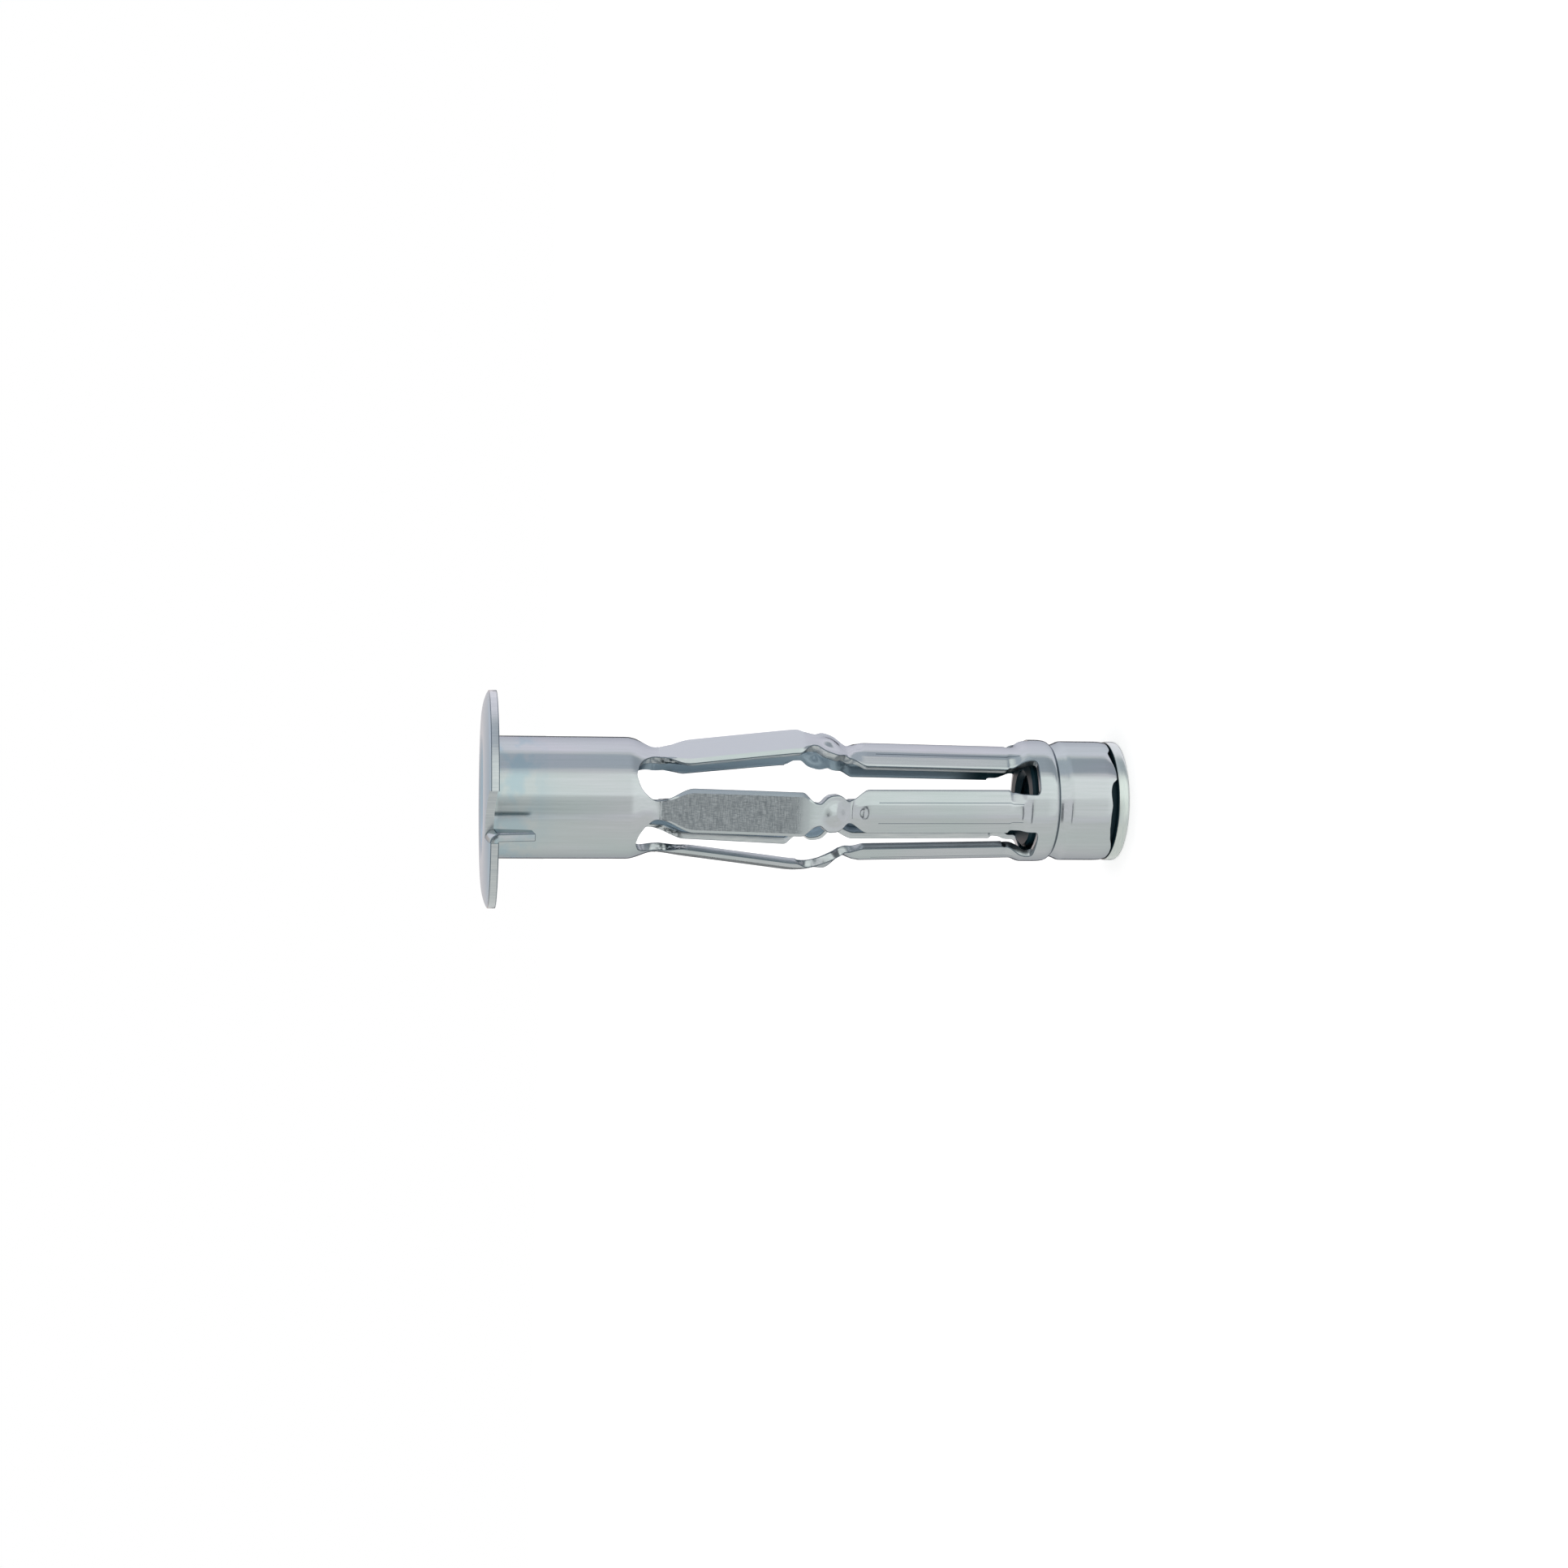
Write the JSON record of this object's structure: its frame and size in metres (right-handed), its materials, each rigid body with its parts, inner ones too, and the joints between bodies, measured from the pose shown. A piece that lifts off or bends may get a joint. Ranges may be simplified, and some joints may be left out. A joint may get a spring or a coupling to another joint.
{
  "type": "hollow wall anchor",
  "caption": "Slotted steel sleeve with a pronged flange, crimped round a flanged threaded nut; its legs fold out behind a hollow wall when the screw is tightened.",
  "frame": {"origin": "centre of the nut's end face, which the anchor stands on", "axes": "+Z along the anchor's axis, from the nut's end face up to the flange; -Y through the middle of the first leg"},
  "size_m": [0.0174, 0.0174, 0.052],
  "materials": {
    "zinc_sheet": "bright zinc plated sheet steel",
    "zinc_nut": "zinc plated turned steel"
  },
  "bodies": {
    "root": {"sleeve": "zinc_sheet", "nut": "zinc_nut"}
  },
  "joints": []
}
